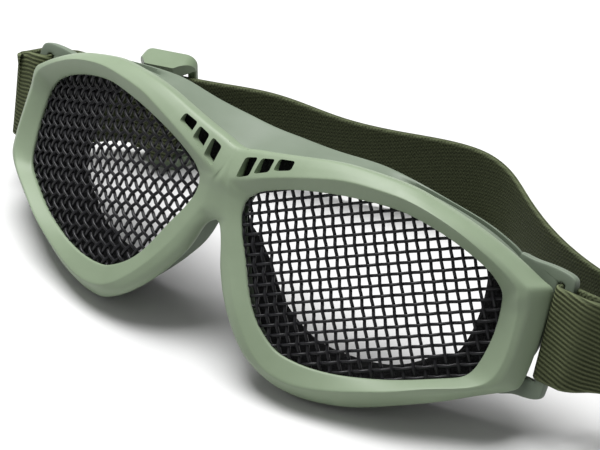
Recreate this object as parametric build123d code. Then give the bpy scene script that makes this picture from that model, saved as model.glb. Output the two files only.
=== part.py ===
from build123d import *
from math import atan2, cos, hypot, radians, sin, sqrt
import os

# Mesh safety goggles, in millimetres. Two woven steel mesh lenses sit in a wrapped front frame, and a
# rear frame with strap lugs clamps them from behind and carries the foam face pad. A wide elastic strap
# runs round the two lugs and through two sliders.
# Every rigid piece is drawn upright in the lens frame: X to the wearer's left, Y back towards the face,
# Z up, with zero on the brow between the lenses. The goggles are then leant back on their lower rim,
# as they stand on a table, and the origin moves to the middle of the base.

# Front frame
frame_half_width = 83.4
frame_height = 57.0
corner_radius = 5.0
brow_flat = 6.0
brow_radius = 166.0
brow_front = -0.6
outer_bevel_width = 3.4
outer_bevel_depth = 3.2
lens_bevel_slope = 1.3
lens_bevel_front = 7.0
lens_bevel_back = 4.5
vent_radius = 0.45

# Lens opening and the mesh that fills it
lens_half_width = 33.5
lens_half_height = 22.0
lens_centre_x = 41.4
lens_centre_z = -12.0
lens_flat = 10.0
lens_radius = 135.0
lens_front = 1.3
mesh_thickness = 1.2
mesh_lap = 2.2
mesh_pitch = 3.5
mesh_wire = 1.2
mesh_turn = 26.0
mesh_rim = 0.4
mesh_flats = 8
fit_gap = 0.3
seat_gap = 0.1

# Rear frame, its strap lugs and the foam face pad
parting_front = 5.5
parting_radius = 150.0
rear_half_width = 81.3
rear_height = 56.2
rim_front = 14.5
rim_flat = 4.0
rim_radius = 219.0
window_grow = 0.8
web_thickness = 1.6
liner_grow = 3.6
rest_flat = 0.35
lug_reach = 6.2
lug_root = 2.6
lug_thickness = 2.6
lug_to_rim = 0.7
lug_bar = 2.6
lug_end_bar = 1.9
lug_corner = 2.5
slot_spare = 1.4
foam_depth = 5.0
foam_inset = 4.0
foam_wall = 3.0
foam_gap = 0.2

# Strap, its loops, sewn hems and sliders
strap_width = 25.0
strap_thickness = 1.5
strap_centre_z = -5.5
bar_gap = 0.75
fold_radius = 1.6
left_loop_tail = 1.5
right_loop_tail = 4.5
layer_gap = 0.3
slider_length = 16.5
slider_bar = 2.6
slider_bar_depth = 2.2
slider_centre_bar = 3.2
slider_rail = 3.4
slider_side_gap = 0.6
slider_radius = 0.8
slider_corner = 3.5
hem_tail = 12.0
hem_sewn = 9.0
ribbon_steps = 4
ribbon_lead = 1.5
hem_slant = 2.0
left_slider_lift = 6.2

# How the goggles stand: leant back on the lower rim, strap standing on edge behind them
lean = 28.7
overrun = 120.0
wrap_reach = 105.0
on_surface = 0.003

# Half outlines as shares of a half width and a height, from the brow's middle round to the nose arch
brow_top_shares = [(0, .158), (.204, .225), (.396, .279), (.528, .288), (.683, .258), (.839, .186), (.989, .081)]
roof_top_shares = [(0, .267), (.185, .274), (.345, .281), (.468, .272), (.615, .243), (.738, .214), (.861, .156),
                   (.985, .075)]
side_share = (1.0, -.14)
cheek_shares = [(.990, -.368), (.899, -.460), (.743, -.584), (.552, -.689), (.408, -.718), (.288, -.675),
                (.174, -.553), (.078, -.377), (.028, -.260), (0, -.218)]

# Lens opening as shares of its half width and half height, anticlockwise from the nose side
opening_shares = [(-.997, .25), (-.988, .50), (-.863, .641), (-.519, .836), (-.131, .964), (.167, .995),
                  (.496, .923), (.779, .773), (.949, .582), (1.0, .273), (.991, -.091), (.943, -.40),
                  (.704, -.623), (.316, -.859), (-.042, -.982), (-.310, -.995), (-.519, -.868), (-.728, -.536),
                  (-.893, -.091)]

# Vents beside the badge place: corners as shares of the frame's half width and height
vent_shares = [
    [(.085, .147), (.053, .130), (.053, .047), (.086, .075)],
    [(.144, .171), (.107, .153), (.106, .091), (.146, .124)],
    [(.210, .198), (.164, .181), (.165, .137), (.212, .165)],
]

# The strap's route on the table, from the right lug round behind the goggles to the left lug. Places are
# shares of the frame's half width: sideways, back, and how far the strap is lifted off the table.
# Each slider sits on a straight run: its middle, the run's direction away from the lug, and the run's
# points as shares along that direction.
right_middle_shares = (-.767, .582)
right_direction_shares = (.945, .327, 0)
right_run_shares = (-.15, 0, .2, .38, .55)
left_middle_shares = (1.379, .330)
left_direction_shares = (.977, .179, -.122)
left_run_shares = (.52, .36, .18, 0, -.16)
right_turn_shares = (-1.024, .448, .076)
left_turn_shares = (1.163, .275, .150)
left_turn_lean_share = .3
right_turn_lean_share = .5
return_lean_share = .3
right_return_shares = (-.965, .432, .070)
left_return_shares = (1.151, .312, .140)
back_route_shares = [(-.16, .785, .040), (.02, .850, .022), (.17, .893, .008), (.30, .900, 0), (.41, .862, 0),
                     (.52, .795, 0), (.70, .695, 0), (.92, .620, 0), (1.20, .580, 0), (1.50, .566, 0),
                     (1.78, .560, .006), (1.97, .548, .020), (2.055, .500, .036), (2.02, .447, .048)]


def scaled(shares, width, height):
    return [(x * width, z * height) for x, z in shares]


def front_plane():
    return Plane(origin=(0, overrun, 0), x_dir=(1, 0, 0), z_dir=(0, -1, 0))


def prism(face):
    """A front-view outline run right through the goggles from back to front."""
    return extrude(front_plane() * face, amount=2 * overrun)


def both(shape):
    return shape + mirror(shape, about=Plane.YZ)


def grown(points, grow):
    """Each point of a half outline moved out along its own normal."""
    moved = []
    for i, (x, z) in enumerate(points):
        before = points[i - 1] if i else (-points[1][0], points[1][1])
        after = points[i + 1] if i + 1 < len(points) else (-points[-2][0], points[-2][1])
        run, rise = after[0] - before[0], after[1] - before[1]
        size = hypot(run, rise)
        moved.append((x - grow * rise / size if x else 0, z + grow * run / size))
    return moved


def half_outline(top_shares, width, height, grow=0):
    """Half of a frame's front view: brow or roof, side, cheek and nose arch."""
    count = len(top_shares)
    shares = top_shares + [side_share] + cheek_shares
    points = grown(scaled(shares, width, height), grow)
    top, side, cheek = points[:count], points[count], points[count + 1:]
    return make_face(Curve() + [
        Spline(*top),
        ThreePointArc(top[-1], side, cheek[0]),
        Spline(*cheek, tangents=[(-1, -.6), (-1, 0)]),
        Line(cheek[-1], top[0]),
    ])


def opening_points(grow):
    """Points of the near lens opening, grown or shrunk about its centre."""
    points = []
    for x, z in scaled(opening_shares, lens_half_width, lens_half_height):
        more = 1 + grow / hypot(x, z)
        points.append((lens_centre_x + x * more, lens_centre_z + z * more))
    return points


def opening(grow=0):
    return make_face(Spline(*opening_points(grow), periodic=True))


def inner_opening(grow):
    """Straight-sided outline through the same points, for the faces that the foam hides."""
    return make_face(Polyline(*opening_points(grow), close=True))


def wrap_depth(x, front, flat, radius):
    """How far back a wrapped surface lies at x: flat at the brow, then an arc."""
    run = max(abs(x) - flat, 0)
    return front + radius - sqrt(radius * radius - run * run)


def behind(front, flat, radius):
    """Everything behind a wrapped surface."""
    ends = [(x, wrap_depth(x, front, flat, radius)) for x in (flat, (flat + wrap_reach) / 2, wrap_reach)]
    near, mid, far = ends
    left = [(-x, y) for x, y in ends]
    profile = make_face(Curve() + [
        Line(left[0], near),
        ThreePointArc(near, mid, far),
        Polyline(far, (far[0], 2 * overrun), (left[2][0], 2 * overrun), left[2]),
        ThreePointArc(left[2], left[1], left[0]),
    ])
    return extrude(profile, amount=overrun, both=True)


def edges_on(shape, front, flat, radius):
    """The edges of a shape that lie in a wrapped surface, without its own seams."""
    found = []
    for edge in shape.edges():
        points = [edge @ share for share in (0, .3, .5, .8, 1)]
        in_surface = all(abs(p.Y - wrap_depth(p.X, front, flat, radius)) < on_surface for p in points)
        seam = all(abs(abs(p.X) - flat) < on_surface for p in points)
        middle = all(abs(p.X) < on_surface for p in points)
        if in_surface and not seam and not middle:
            found.append(edge)
    return found


def upright_edges(shape, beyond):
    return [e for e in shape.edges().filter_by(Axis.Y) if e.center().X > beyond]


brow = (brow_front, brow_flat, brow_radius)
lens_seat = (lens_front, lens_flat, lens_radius)
pocket_front = (lens_front - seat_gap, lens_flat, lens_radius + seat_gap)
lens_back = (lens_front + mesh_thickness, lens_flat, lens_radius - mesh_thickness)
press_front = (lens_back[0] + seat_gap, lens_flat, lens_back[2] - seat_gap)
parting = (parting_front, lens_flat, parting_radius)
rear_front = (parting_front + seat_gap, lens_flat, parting_radius - seat_gap)
web_back = (parting_front + web_thickness, lens_flat, parting_radius - web_thickness)
rim = (rim_front, rim_flat, rim_radius)
foam_back = (rim_front + foam_depth, rim_flat, rim_radius - foam_depth)


def make_front_frame():
    """Wrapped bezel: two lens openings with an inner bevel, an outer bevel, brow vents and lens pockets."""
    half = prism(half_outline(brow_top_shares, frame_half_width, frame_height))
    half = fillet(upright_edges(half, frame_half_width / 2), corner_radius)
    half = (half & behind(*brow)) - behind(*parting)
    half = chamfer(edges_on(half, *brow), outer_bevel_width, outer_bevel_depth)
    pocket = prism(opening(mesh_lap + fit_gap)) & behind(*pocket_front)
    frame = both(half - prism(opening()) - bevel_tool() - pocket)
    for corners in vent_shares:
        vent = Polyline(*scaled(corners, frame_half_width, frame_height), close=True)
        face = make_face(vent)
        frame -= both(prism(fillet(face.vertices(), vent_radius)))
    return frame - both(strap_room())


def strap_room():
    """Room in the bezel's back corner for the layer of strap that passes between it and the lug's bar."""
    slot, front = loop_lines()[:2]
    spare = strap_thickness / 2 + layer_gap
    size = strap_thickness + 2 * layer_gap
    middle = (slot - spare + overrun / 2, front - spare + size, strap_centre_z)
    return Pos(*middle) * Box(overrun, 2 * size, strap_width + slot_spare)


def bevel_tool():
    """Cutter that flares forwards out of the near lens opening, square to the middle of the wrapped lens."""
    ends = [wrap_depth(lens_centre_x + side * lens_half_width, *lens_seat) for side in (-1, 1)]
    yaw = atan2(ends[1] - ends[0], 2 * lens_half_width)
    middle = (lens_centre_x, wrap_depth(lens_centre_x, *lens_seat), lens_centre_z)
    facing = Plane(origin=middle, x_dir=(cos(yaw), sin(yaw), 0), z_dir=(sin(yaw), -cos(yaw), 0))
    sections = []
    for reach in (-lens_bevel_back, lens_bevel_front):
        width = lens_half_width / cos(yaw) + lens_bevel_slope * (reach + lens_bevel_back)
        height = lens_half_height + lens_bevel_slope * reach
        ring = Spline(*scaled(opening_shares, width, height), periodic=True)
        sections.append(facing.offset(reach) * make_face(ring))
    return loft(sections, ruled=True)


def make_mesh_lens():
    """Wrapped steel mesh of the wearer's left eye: a solid edge and square holes on a turned grid."""
    field = opening(-mesh_rim - mesh_pitch / 2)
    reach = int(lens_half_width / mesh_pitch) + 2
    hole = mesh_pitch - mesh_wire
    turn = Rot(0, 0, mesh_turn)
    holes = []
    for i in range(-reach, reach + 1):
        for j in range(-reach, reach + 1):
            spot = Pos(lens_centre_x, lens_centre_z) * turn * Pos(i * mesh_pitch, j * mesh_pitch)
            if field.is_inside(spot.position):
                holes.append((spot * Rectangle(hole, hole)).face().outer_wire())
    face = opening(mesh_lap).face().make_holes(holes)
    print("mesh holes in each lens", len(holes))
    low = lens_centre_x - lens_half_width - mesh_pitch
    high = lens_centre_x + lens_half_width + mesh_pitch
    return prism(face) & bent_sheet(lens_seat, lens_back, low, high)


def bent_sheet(front, back, low, high):
    """Thin upright sheet between two wrapped surfaces, bent in a row of narrow flats."""
    stations = [low + (high - low) * i / mesh_flats for i in range(mesh_flats + 1)]
    outline = [(x, wrap_depth(x, *front)) for x in stations]
    outline += [(x, wrap_depth(x, *back)) for x in reversed(stations)]
    return extrude(make_face(Polyline(*outline, close=True)), amount=overrun, both=True)


def make_lug():
    """Strap lug: a flat ear behind the bezel with one tall slot."""
    width = lug_root + lug_reach
    slot_height = strap_width + slot_spare
    height = slot_height + 2 * lug_end_bar
    back = wrap_depth(rear_half_width, *rim) - lug_to_rim
    middle_x = rear_half_width + lug_reach - width / 2
    slot_width = lug_reach - lug_bar
    plate = Pos(middle_x, strap_centre_z) * Rectangle(width, height)
    slot_x = rear_half_width + slot_width / 2
    slot = Pos(slot_x, strap_centre_z) * Rectangle(slot_width, slot_height)
    outer = [v for v in plate.vertices() if v.X > middle_x]
    plate = fillet(outer, lug_corner) - slot
    ear = extrude(Plane(origin=(0, back, 0), x_dir=(1, 0, 0), z_dir=(0, -1, 0)) * plate, amount=lug_thickness)
    return ear


def make_rear_frame():
    """Rear shell: face skirt, a web with a rim that presses each mesh into its pocket, and two lugs."""
    half = prism(half_outline(roof_top_shares, rear_half_width, rear_height))
    half = fillet(upright_edges(half, rear_half_width / 2), corner_radius)
    half = (half & behind(*rear_front)) - behind(*rim)
    frame = both(half)
    press = (prism(inner_opening(mesh_lap)) & behind(*press_front)) - behind(*web_back)
    liner_room = prism(inner_opening(liner_grow)) & behind(*web_back)
    frame = frame + both(press) - both(prism(inner_opening(window_grow))) - both(liner_room)
    return frame + both(make_lug())


def make_face_foam():
    """Black foam: a pad on the rear rim with a thick liner down each eye cavity."""
    pad = both(prism(half_outline(roof_top_shares, rear_half_width, rear_height, -foam_inset)))
    pad = (pad & behind(*rim)) - behind(*foam_back)
    front = (web_back[0] + foam_gap, web_back[1], web_back[2] - foam_gap)
    liner = (prism(inner_opening(liner_grow - foam_gap)) & behind(*front)) - behind(*rim)
    return pad + both(liner) - both(prism(inner_opening(-foam_wall)))


def strip(points, radius, height):
    """A band of the strap's thickness along a plan route, standing on edge."""
    route = FilletPolyline(*points, radius=radius)
    return extrude(trace(route, strap_thickness), amount=height / 2, both=True)


def lug_sizes():
    """Plan of the lug's outer bar: inner and outer side, front and back."""
    outer = rear_half_width + lug_reach
    back = wrap_depth(rear_half_width, *rim) - lug_to_rim
    return outer - lug_bar, outer, back - lug_thickness, back


def loop_lines():
    """Centre lines of the layers round a bar: in the slot, in front, behind and outside."""
    inner, outer, front, back = lug_sizes()
    off = bar_gap + strap_thickness / 2
    return inner - off, front - off, back + off, outer + off


def make_left_loop():
    """Fold round the left lug's bar, both layers pulled out sideways."""
    slot, front, back, outside = loop_lines()
    reach = outside + left_loop_tail
    points = [(reach, front), (slot, front), (slot, back), (reach, back)]
    return Pos(0, 0, strap_centre_z) * strip(points, fold_radius, strap_width)


def make_right_loop():
    """Fold round the right lug's bar, both layers pulled straight back."""
    slot, front, back, outside = loop_lines()
    reach = back + right_loop_tail
    points = [(-outside, reach), (-outside, front), (-slot, front), (-slot, reach)]
    return Pos(0, 0, strap_centre_z) * strip(points, fold_radius, strap_width)


def make_slider():
    """Ladder slider about the strap's centre line: X along the strap, Y towards the head, Z up."""
    half = slider_length / 2
    front = -strap_thickness / 2 - layer_gap - slider_bar_depth
    end_back = front + slider_bar_depth
    bar_front = strap_thickness / 2 + strap_thickness + 2 * layer_gap
    bar_back = bar_front + slider_bar_depth
    centre = slider_centre_bar / 2
    inside = strap_width / 2 + slider_side_gap
    shoulder = centre + slider_bar
    rail = make_face(Polyline((-half, front), (half, front), (half, end_back), (shoulder, bar_back),
                              (-shoulder, bar_back), (-half, end_back), close=True))
    rail = fillet(rail.vertices(), slider_radius)
    top = Pos(0, 0, inside) * extrude(rail, amount=slider_rail)
    end_bar = Pos(half - slider_bar / 2, (front + end_back) / 2) * Rectangle(slider_bar, slider_bar_depth)
    centre_bar = Pos(0, (bar_front + bar_back) / 2) * Rectangle(slider_centre_bar, slider_bar_depth)
    bars = fillet(end_bar.vertices(), slider_radius)
    bars = bars + mirror(bars, about=Plane.YZ) + fillet(centre_bar.vertices(), slider_radius)
    ladder = top + mirror(top, about=Plane.XY) + extrude(bars, amount=inside + slider_rail / 2, both=True)
    outline = Plane.XZ * RectangleRounded(slider_length, 2 * (inside + slider_rail), slider_corner)
    return ladder & extrude(outline, amount=overrun, both=True)


def make_hem():
    """Sewn end of the strap round the slider's centre bar, in the slider's own frame."""
    inner = strap_thickness / 2 + layer_gap
    middle = inner + strap_thickness
    sewn = middle + strap_thickness
    hollow_back = middle + 2 * layer_gap + slider_bar_depth
    far = hollow_back + strap_thickness
    side = slider_centre_bar / 2 + layer_gap
    turn = side + strap_thickness
    outline = make_face(Polyline((-hem_tail, inner), (turn, inner), (turn, far), (-side, far),
                                 (-turn - hem_slant, sewn), (-hem_sewn, sewn), (-hem_sewn, middle),
                                 (-hem_tail, middle), close=True))
    corners = [v for v in outline.vertices() if v.X > 0 or v.Y > hollow_back]
    hollow = make_face(Polyline((side, middle), (side, hollow_back), (-side, hollow_back),
                                (-side - hem_slant, middle), close=True))
    return extrude(fillet(corners, fold_radius / 2) - hollow, amount=strap_width / 2, both=True)


def stand(shape):
    """Lean a shape back from the lens frame onto the table's axes."""
    return Rot(-lean, 0, 0) * shape


def stood_point(x, y, z):
    turn = radians(lean)
    return Vector(x, y * cos(turn) + z * sin(turn), -y * sin(turn) + z * cos(turn))


def slider_middle(middle_shares, lift, floor):
    """Middle of a slider, its lower rail a given lift above the table."""
    x, y = scaled([middle_shares], frame_half_width, frame_half_width)[0]
    return Vector(x, y, floor + strap_width / 2 + slider_side_gap + slider_rail + lift)


def run_places(middle, direction, shares):
    return [middle + direction * frame_half_width * share for share in shares]


def route_place(shares, floor):
    """Table point of the strap's middle, standing on its edge or lifted off the table."""
    x, y, lift = [share * frame_half_width for share in shares]
    return Vector(x, y, floor + strap_width / 2 + lift)


def slider_place(middle, direction, side):
    """Local frame of a slider: X away from the lug, Y towards the head."""
    inward = Vector(-direction.Y, direction.X, 0) * side
    return Location(Plane(origin=middle, x_dir=direction, z_dir=direction.cross(inward)))


def ribbon(points, leans, tangents):
    """Strap stretch through table points, standing on edge, its lean changing along the way."""
    first, last = points[0] + tangents[0] * ribbon_lead, points[-1] - tangents[1] * ribbon_lead
    points = [points[0], first] + points[1:-1] + [last, points[-1]]
    leans = [leans[0]] + leans + [leans[-1]]
    path = Spline(*points)
    places = [path.param_at_point(point) for point in points]
    stations = []
    for i in range(len(points) - 1):
        for share in [step / ribbon_steps for step in range(ribbon_steps)]:
            at = places[i] + (places[i + 1] - places[i]) * share
            stations.append((path @ at, path % at, leans[i] + (leans[i + 1] - leans[i]) * share))
    stations[0] = (points[0], tangents[0], leans[0])
    stations.append((points[-1], tangents[1], leans[-1]))
    rings = []
    for place, along, share in stations:
        up = Vector(0, sin(radians(lean * share)), cos(radians(lean * share)))
        up = (up - along * up.dot(along)).normalized() * strap_width / 2
        across = along.cross(up).normalized() * strap_thickness / 2
        rings.append([place + up + across, place - up + across, place - up - across, place + up - across])
    return solid_of(rings)


def solid_of(rings):
    """Solid through a row of four-cornered rings, its sides split in flat triangles."""
    faces = [make_face(Polyline(*ring, close=True)) for ring in (rings[0], rings[-1])]
    for near, far in zip(rings, rings[1:]):
        for i in range(4):
            j = (i + 1) % 4
            for corners in ((near[i], near[j], far[j]), (near[i], far[j], far[i])):
                faces.append(make_face(Polyline(*corners, close=True)))
    return Solid(Shell(faces))


def sideways():
    return Vector(1, 0, 0)


def straight_back():
    """The lens frame's way back, on the table's axes."""
    return stood_point(0, 1, 0)


def make_band(left, right, floor):
    """The strap's long stretch, with the fold round each lug bar at its ends."""
    slot, front, back, outside = loop_lines()
    start = stood_point(-outside, back + right_loop_tail, strap_centre_z)
    end = stood_point(outside + left_loop_tail, front, strap_centre_z)
    runs = [run_places(*right, right_run_shares), run_places(*left, left_run_shares)]
    behind_head = [route_place(shares, floor) for shares in back_route_shares]
    points = [start, route_place(right_turn_shares, floor)] + runs[0] + behind_head + runs[1]
    points += [route_place(left_turn_shares, floor), end]
    leans = [1, right_turn_lean_share] + [0] * (len(points) - 4) + [left_turn_lean_share, 1]
    stretch = ribbon(points, leans, [straight_back(), sideways() * -1])
    return stretch + stand(make_left_loop()) + stand(make_right_loop())


def make_return(start, heading, middle, place, direction):
    """Short layer from the inner side of a fold to the sewn hem on the slider."""
    end = (place * Pos(-hem_tail, strap_thickness + layer_gap, 0)).position
    return ribbon([start, middle, end], [1, return_lean_share, 0], [heading, direction])


def make_returns(left, right, left_place, right_place, floor):
    slot, front, back, outside = loop_lines()
    left_start = stood_point(outside + left_loop_tail, back, strap_centre_z)
    right_start = stood_point(-slot, back + right_loop_tail, strap_centre_z)
    left_middle = route_place(left_return_shares, floor)
    right_middle = route_place(right_return_shares, floor)
    return (make_return(left_start, sideways(), left_middle, left_place, left[1]),
            make_return(right_start, straight_back(), right_middle, right_place, right[1]))


def build():
    rear_frame = stand(make_rear_frame())
    floor = rear_frame.bounding_box().min.Z + rest_flat
    rear_frame -= Pos(0, 0, floor - overrun / 2) * Box(3 * overrun, 3 * overrun, overrun)
    lens = make_mesh_lens()
    left_direction = Vector(*left_direction_shares).normalized()
    right_direction = Vector(*right_direction_shares).normalized()
    left = (slider_middle(left_middle_shares, left_slider_lift, floor), left_direction)
    right = (slider_middle(right_middle_shares, 0, floor), right_direction)
    left_place = slider_place(*left, 1)
    right_place = slider_place(*right, -1)
    left_return, right_return = make_returns(left, right, left_place, right_place, floor)
    slider, hem = make_slider(), make_hem()
    nodes = {
        "front_frame": stand(make_front_frame()),
        "rear_frame": rear_frame,
        "mesh_lens_left": stand(lens),
        "mesh_lens_right": stand(mirror(lens, about=Plane.YZ)),
        "face_foam": stand(make_face_foam()),
        "strap_band": make_band(left, right, floor),
        "strap_return_left": left_return,
        "strap_return_right": right_return,
        "strap_hem_left": left_place * hem,
        "strap_hem_right": right_place * hem,
        "slider_left": left_place * slider,
        "slider_right": right_place * slider,
    }
    boxes = [shape.bounding_box() for shape in nodes.values()]
    low = [min(getattr(box.min, axis) for box in boxes) for axis in "XYZ"]
    high = [max(getattr(box.max, axis) for box in boxes) for axis in "XYZ"]
    home = Pos(-(low[0] + high[0]) / 2, -(low[1] + high[1]) / 2, -low[2])
    front, back = lug_sizes()[2:]
    marks = {"strap hinge": stood_point(0, (front + back) / 2, strap_centre_z), "left slider": left[0],
             "right slider": right[0], "brow": Vector(0, 0, 0), "floor": Vector(0, 0, floor)}
    print("size", [round(b - a, 2) for a, b in zip(low, high)], "origin moved", home.position)
    for name, mark in marks.items():
        print(name, (home * Pos(mark)).position)
    return {name: home * shape for name, shape in nodes.items()}


if __name__ == "__main__":
    os.makedirs("parts", exist_ok=True)
    for name, shape in build().items():
        print(name, len(shape.solids()), "solid, volume", round(shape.volume))
        export_step(shape, f"parts/{name}.step")
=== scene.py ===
import bmesh
import bpy
import numpy as np
from mathutils import Matrix, Vector


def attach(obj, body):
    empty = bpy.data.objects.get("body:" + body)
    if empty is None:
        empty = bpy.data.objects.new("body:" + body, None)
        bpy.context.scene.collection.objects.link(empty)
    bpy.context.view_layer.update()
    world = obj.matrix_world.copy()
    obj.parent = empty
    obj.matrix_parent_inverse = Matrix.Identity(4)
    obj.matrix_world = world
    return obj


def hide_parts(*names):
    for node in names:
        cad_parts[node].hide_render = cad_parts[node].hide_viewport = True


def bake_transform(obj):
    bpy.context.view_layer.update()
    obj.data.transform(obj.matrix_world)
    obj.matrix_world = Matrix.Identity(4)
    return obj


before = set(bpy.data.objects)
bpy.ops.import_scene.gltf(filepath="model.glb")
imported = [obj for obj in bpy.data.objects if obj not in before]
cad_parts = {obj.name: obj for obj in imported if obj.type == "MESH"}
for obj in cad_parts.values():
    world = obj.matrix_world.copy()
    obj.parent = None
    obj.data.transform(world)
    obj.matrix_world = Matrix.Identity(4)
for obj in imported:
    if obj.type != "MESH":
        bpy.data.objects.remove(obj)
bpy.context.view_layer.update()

# Bezel: the front of the goggles, one moulding in sage green plastic, wrapped round the face. Each eye has
# an opening with a bevel up to a soft crest, and a lighter band runs from the crest to the outer edge.
# The mould leaves a fine grain, and three small vents open on each side of the nose.

# The goggles are drawn upright, in millimetres from the brow: x sideways, y back, z up. Outlines are x and z
# of the left half, from the brow's middle round the cheek to the nose arch, and then up the middle line.
brow_place = np.array([-41.5154, -29.6042, 43.1649])
lean = np.radians(28.7)
band_edge = np.array([
    (0, 9), (4, 9.8), (8, 10.7), (17, 12.8), (25, 14.7), (33, 15.9), (44, 16.4), (52, 15.6), (62, 13.3),
    (70, 10.6), (76, 8), (81, 5.4), (83.2, 2.8), (83.6, -7), (83.6, -14), (83.2, -19.5), (81.2, -22.3),
    (75, -26), (69, -29.8), (62, -33.6), (54, -37.6), (46, -40.8), (37, -42.7), (30, -42.6), (24.6, -40.6),
    (19.2, -37.4), (13.6, -32.2), (8.9, -26.4), (5.3, -20.6), (3.5, -15.4), (2, -11.8), (0, -10.2), (0, -7),
    (0, -3.5), (0, 1), (0, 5)], float)
crest_line = np.array([
    (2.2, 1), (6, 2.4), (10.5, 4.4), (18.5, 7.6), (27, 10.5), (34.5, 12.4), (44, 13.3), (52, 13.2), (61, 11.4),
    (68.5, 8.6), (74, 5.9), (77.8, 3.5), (79.4, .5), (80.3, -6.5), (80.6, -13), (80, -18), (77.8, -21.8),
    (73, -24.7), (67, -27.3), (60, -30.9), (52, -34.4), (44.5, -37.2), (36.5, -39.2), (29.6, -39),
    (25, -37.2), (20.6, -33.8), (15.9, -28.8), (12.0, -23.4), (9.0, -18.3), (6.9, -14.0), (5.4, -11),
    (4.3, -8.8), (3.8, -6.5), (3.4, -4), (2.9, -1.8), (2.3, -.2)], float)
opening_edge = np.array([
    (9.3, -.3), (10.6, .9), (13.3, 2.35), (19.5, 4.9), (27.5, 7.15), (34.3, 8.6), (43.5, 9.8), (50.5, 9.7),
    (58.5, 8.2), (65.5, 5.9), (70.2, 3.6), (73.2, 1), (74.4, -1.8), (75, -7.5), (74.8, -13), (74, -18),
    (72.2, -21.8), (68.3, -24.1), (63.2, -26.5), (56.8, -29.2), (49.5, -31.6), (43, -33.2), (36, -34),
    (30, -33.7), (26.5, -32.5), (22.8, -30.2), (19, -26.6), (15.8, -21.8), (13.2, -16.9), (11.3, -13.6),
    (10, -11.4), (9, -9.3), (8, -6.8), (7.6, -4.5), (7.8, -2.6), (8.4, -1.3)], float)
arch_point = 31  # the outline's point at the top of the nose arch
steps = 8  # points along the curve for each point of an outline

# How far back each surface lies: where it starts, half its flat width, and the radius that it bends to
crest_wrap, edge_wrap, parting_wrap = (-.5, 8, 164), (-.6, 6, 166), (5.5, 10, 150)
lens_wrap, pocket_wrap = (1.3, 10, 135), (2.6, 10, 134)
lens_pocket = 2.5

vents = [[(7.3, 8.8), (3.9, 7.6), (3.9, 2.2), (7.4, 4.0)], [(12.2, 10.1), (8.5, 9.0), (8.4, 4.8), (12.4, 6.8)],
         [(17.8, 11.6), (13.3, 10.6), (13.4, 7.4), (18.1, 9.3)]]
vent_room = np.array([(2.6, 9.3), (2.6, 1.6), (10.5, 3.9), (19.6, 7.6), (19.6, 11.6), (10.5, 10.1)])
vent_front, vent_back, vent_corner = -8, 9, .75
room_front, room_corner = 1.5, .5


def smooth_loop(points, steps):
    """Closed curve through the points, in so many steps from each to the next: a cubic B-spline, its control
    points found by dividing the points' Fourier terms by (4 + 2 cos w) / 6."""
    points = np.asarray(points, float)
    n = len(points)
    weights = (4 + 2 * np.cos(2 * np.pi * np.arange(n) / n)) / 6
    control = np.real(np.fft.ifft(np.fft.fft(points, axis=0) / weights[:, None], axis=0))
    t = np.arange(n * steps) / steps
    i, f = t.astype(int), (t % 1)[:, None]
    parts = ((1 - f) ** 3, 3 * f ** 3 - 6 * f ** 2 + 4, 1 + 3 * f + 3 * f ** 2 - 3 * f ** 3, f ** 3)
    return sum(part * control[(i + k - 1) % n] for k, part in enumerate(parts)) / 6


def half_outline(points, steps):
    """Outline of one half: round the outside it is part of a smooth loop through its points and their mirror
    image, and up the middle line it is straight runs."""
    outside = points[:arch_point + 1]
    loop = np.vstack([outside, (outside[1:-1] * (-1, 1))[::-1]])
    round_side = smooth_loop(loop, steps)[:arch_point * steps + 1]
    round_side[[0, -1], 0] = 0
    middle = np.vstack([points[arch_point:], points[:1]])
    t = np.arange(1, (len(points) - arch_point) * steps) / steps
    up_middle = np.stack([np.interp(t, np.arange(len(middle)), middle[:, k]) for k in (0, 1)], 1)
    return np.vstack([round_side, up_middle])


def wrap(x, front, flat, radius):
    """Depth of a surface wrapped round the face: the front's depth over the flat width, and beyond it the
    radius less the root of its square less the square of the run past the flat."""
    run = np.maximum(np.abs(x) - flat, 0)
    return front + radius - np.sqrt(radius ** 2 - run ** 2)


def rise(value, low, high):
    """Smooth step from 0 at low to 1 at high, either way up: 3 t^2 - 2 t^3 of the share t of the way."""
    t = np.clip((value - low) / (high - low), 0, 1)
    return t * t * (3 - 2 * t)


def at_depth(outline, depth):
    """The outline's points, each at its own depth."""
    return np.stack([outline[:, 0], np.broadcast_to(depth, len(outline)), outline[:, 1]], 1)


def ring(inner, outer, share, depth):
    """The outline that lies a share of the way from the inner one to the outer one, at its depths."""
    return at_depth(inner + (outer - inner) * share, depth)


def stood(points):
    """Points drawn upright turned back about x by the lean and moved to the brow's place, in metres."""
    x, y, z = np.moveaxis(np.asarray(points, float), -1, 0)
    turned = np.stack([x, y * np.cos(lean) + z * np.sin(lean), -y * np.sin(lean) + z * np.cos(lean)], -1)
    return (turned + brow_place) / 1000


def piece(name, points, faces, smooth=True):
    """New object from points in metres and faces."""
    mesh = bpy.data.meshes.new(name)
    mesh.from_pydata(np.asarray(points).reshape(-1, 3).tolist(), [], np.asarray(faces).tolist())
    mesh.polygons.foreach_set("use_smooth", [smooth] * len(mesh.polygons))
    mesh.validate()
    thing = bpy.data.objects.new(name, mesh)
    bpy.context.scene.collection.objects.link(thing)
    return thing


def cells(rows, columns, close_rows=False, close_columns=False):
    """Quads of a grid of points, by row and then column, joined end to end where the grid closes."""
    r = np.arange(rows if close_rows else rows - 1)[:, None]
    c = np.arange(columns if close_columns else columns - 1)[None, :]
    a, b = r * columns + c, r * columns + (c + 1) % columns
    d, e = (r + 1) % rows * columns + c, (r + 1) % rows * columns + (c + 1) % columns
    return np.stack([a, b, e, d], -1).reshape(-1, 4)


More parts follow.
